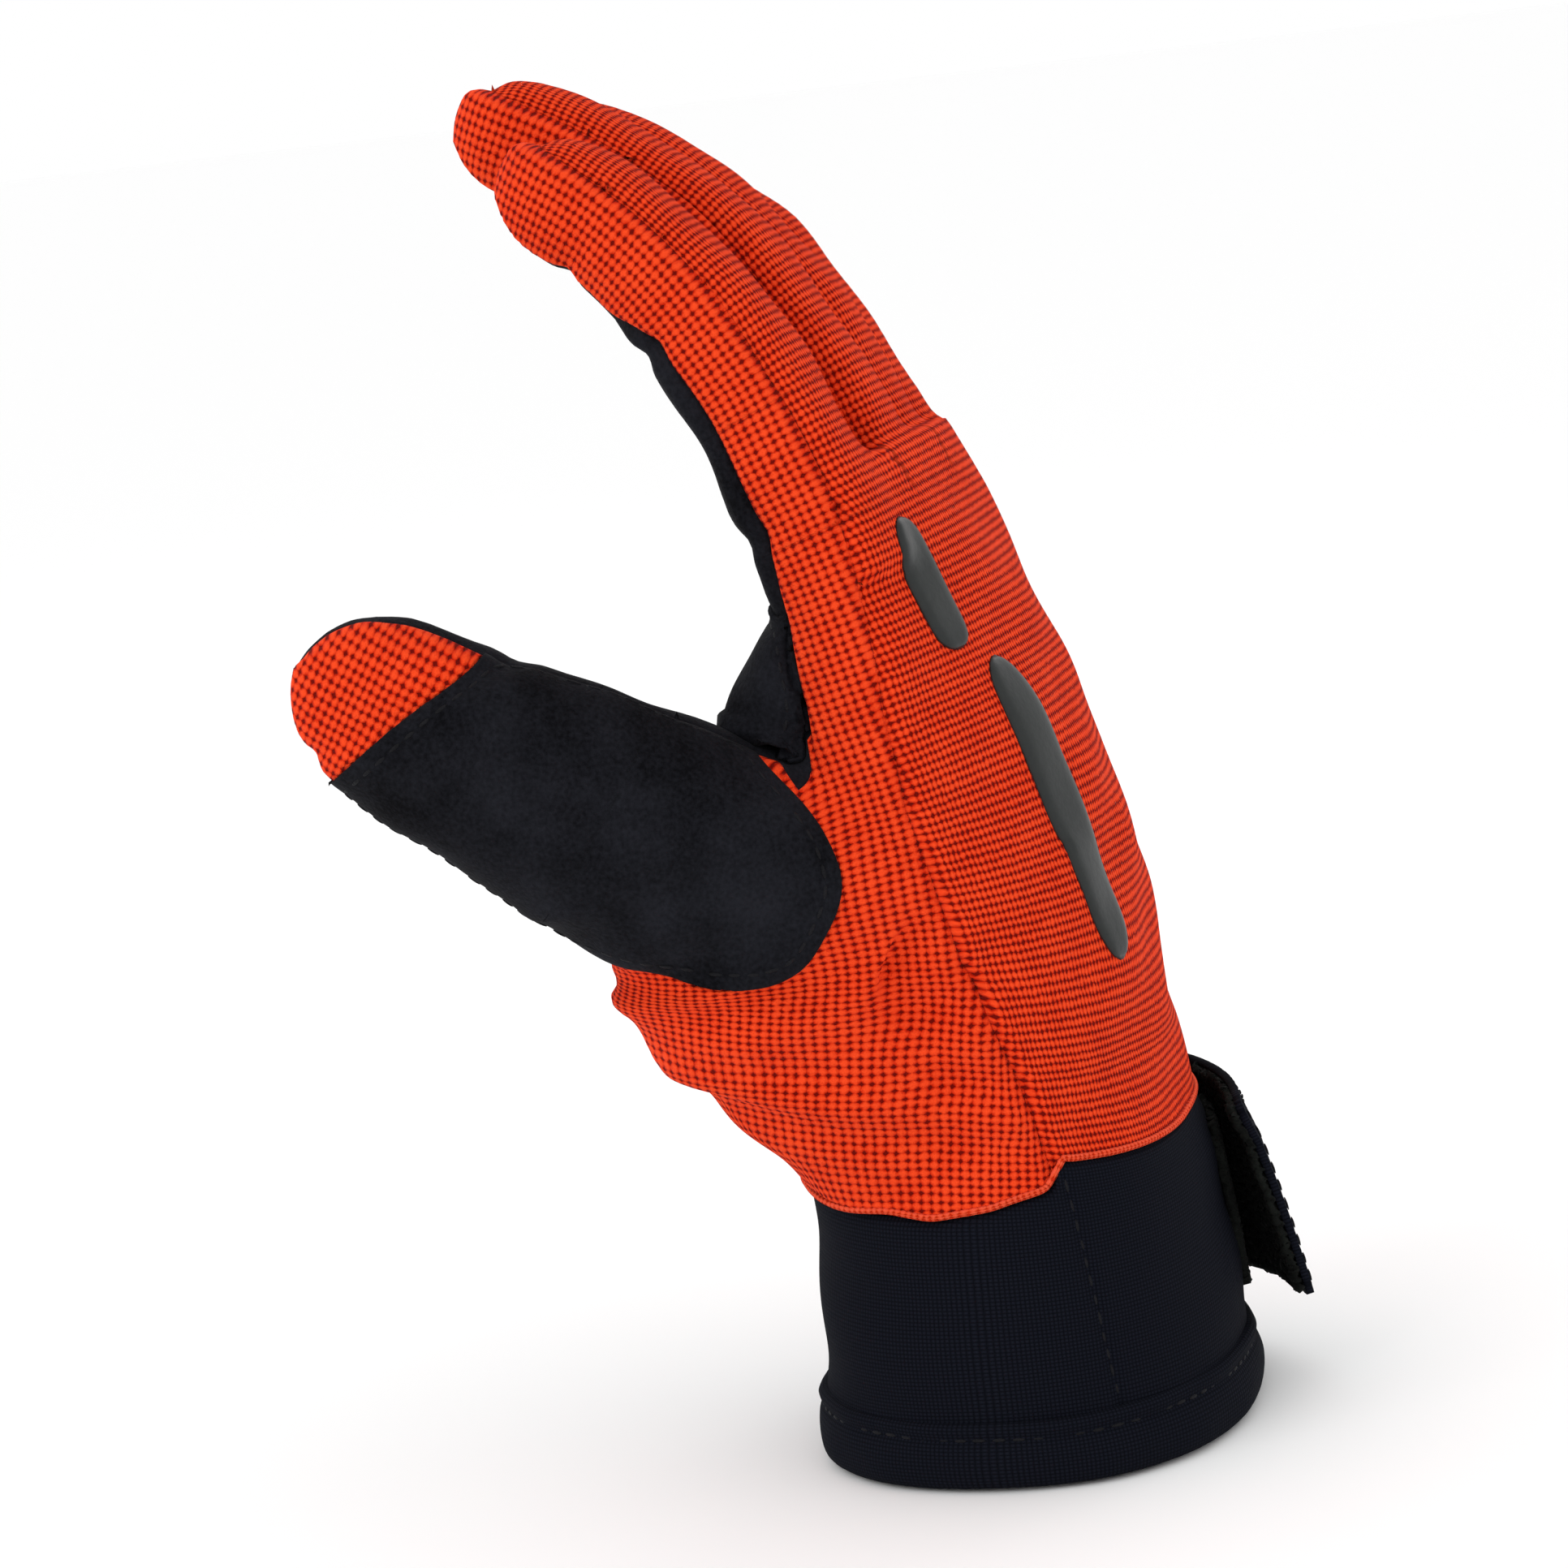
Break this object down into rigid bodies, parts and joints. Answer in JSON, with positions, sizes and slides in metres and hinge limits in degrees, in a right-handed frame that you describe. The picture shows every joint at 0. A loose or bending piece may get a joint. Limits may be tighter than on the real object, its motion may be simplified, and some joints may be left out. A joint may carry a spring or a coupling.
{
  "type": "work glove",
  "caption": "Right-hand knit and suede work glove on its stretch cuff, with half-curled hinged fingers, a bending thumb and a peeling wrist strap.",
  "frame": {"origin": "under the middle of the glove, on the plane that the cuff's mouth stands on", "axes": "+Z from the cuff to the fingers, +X towards the back of the hand, -Y towards the thumb"},
  "size_m": [0.133, 0.106, 0.216],
  "materials": {
    "red_knit": "ribbed knit",
    "red_side_knit": "small square knit",
    "black_suede": "brushed synthetic suede",
    "black_neoprene": "knit-faced stretch foam",
    "black_strap": "brushed loop pile",
    "rubber_print": "smooth satin"
  },
  "bodies": {
    "hand": {"back_panel": "red_knit", "back_print_long": "rubber_print", "back_print_short": "rubber_print", "cuff_hem": "black_neoprene", "cuff_sleeve": "black_neoprene", "index_side_panel": "red_side_knit", "little_side_panel": "red_side_knit", "palm_panel": "black_suede", "strap_loop_pad": "black_strap", "strap_sewn_end": "black_strap", "thumb_back_gusset": "red_knit", "thumb_root_panel": "red_knit", "web_patch": "black_suede"},
    "index_lower": {"index_lower_back": "red_knit", "index_lower_far_side": "red_side_knit", "index_lower_palm": "black_suede", "index_lower_thumb_side": "red_side_knit"},
    "index_upper": {"index_upper_back": "red_knit", "index_upper_far_side": "red_side_knit", "index_upper_palm": "black_suede", "index_upper_thumb_side": "red_side_knit"},
    "middle_lower": {"middle_lower_back": "red_knit", "middle_lower_far_side": "red_side_knit", "middle_lower_palm": "black_suede", "middle_lower_thumb_side": "red_side_knit"},
    "middle_upper": {"middle_upper_back": "red_knit", "middle_upper_far_side": "red_side_knit", "middle_upper_palm": "black_suede", "middle_upper_thumb_side": "red_side_knit"},
    "ring_lower": {"ring_lower_back": "red_knit", "ring_lower_far_side": "red_side_knit", "ring_lower_palm": "black_suede", "ring_lower_thumb_side": "red_side_knit"},
    "ring_upper": {"ring_upper_back": "red_knit", "ring_upper_far_side": "red_side_knit", "ring_upper_palm": "black_suede", "ring_upper_thumb_side": "red_side_knit"},
    "little_lower": {"little_lower_back": "red_knit", "little_lower_far_side": "red_side_knit", "little_lower_palm": "black_suede", "little_lower_thumb_side": "red_side_knit"},
    "little_upper": {"little_upper_back": "red_knit", "little_upper_far_side": "red_side_knit", "little_upper_palm": "black_suede", "little_upper_thumb_side": "red_side_knit"},
    "thumb_lower": {"thumb_lower_back_patch": "black_suede", "thumb_lower_palm": "black_suede"},
    "thumb_tip": {"thumb_tip_back": "red_knit", "thumb_tip_palm": "black_suede"},
    "strap": {"strap_flap": "black_strap", "strap_hook_face": "black_strap"}
  },
  "joints": [
    {"name": "index_knuckle", "type": "hinge", "parent": "hand", "child": "index_lower", "pos_m": [0.00777, -0.0197, 0.14884], "axis": [0, -1, 0], "range_deg": [-12, 40]},
    {"name": "index_bend", "type": "hinge", "parent": "index_lower", "child": "index_upper", "pos_m": [-0.00548, -0.0197, 0.17765], "axis": [0, -1, 0], "range_deg": [-18, 40]},
    {"name": "middle_knuckle", "type": "hinge", "parent": "hand", "child": "middle_lower", "pos_m": [0.00937, 0.001, 0.14942], "axis": [0, -1, 0], "range_deg": [-12, 50]},
    {"name": "middle_bend", "type": "hinge", "parent": "middle_lower", "child": "middle_upper", "pos_m": [-0.0061, 0.001, 0.18173], "axis": [0, -1, 0], "range_deg": [-18, 50]},
    {"name": "ring_knuckle", "type": "hinge", "parent": "hand", "child": "ring_lower", "pos_m": [0.00777, 0.0215, 0.14884], "axis": [0, -1, 0], "range_deg": [-12, 55]},
    {"name": "ring_bend", "type": "hinge", "parent": "ring_lower", "child": "ring_upper", "pos_m": [-0.00598, 0.0215, 0.17845], "axis": [0, -1, 0], "range_deg": [-18, 55]},
    {"name": "little_knuckle", "type": "hinge", "parent": "hand", "child": "little_lower", "pos_m": [0.00543, 0.0413, 0.14798], "axis": [0, -1, 0], "range_deg": [-12, 55]},
    {"name": "little_bend", "type": "hinge", "parent": "little_lower", "child": "little_upper", "pos_m": [-0.0048, 0.0413, 0.1715], "axis": [0, -1, 0], "range_deg": [-18, 55]},
    {"name": "thumb_root", "type": "hinge", "parent": "hand", "child": "thumb_lower", "pos_m": [-0.00717, -0.02522, 0.09538], "axis": [0.5868, 0.088, 0.8049], "range_deg": [-14, 14]},
    {"name": "thumb_bend", "type": "hinge", "parent": "thumb_lower", "child": "thumb_tip", "pos_m": [-0.03577, -0.03804, 0.11673], "axis": [0.552, 0.0828, 0.8297], "range_deg": [-15, 30]},
    {"name": "strap_peel", "type": "hinge", "parent": "hand", "child": "strap", "pos_m": [0.04091, 0.05012, 0.0298], "axis": [0, 0, 1], "range_deg": [0, 95]}
  ]
}
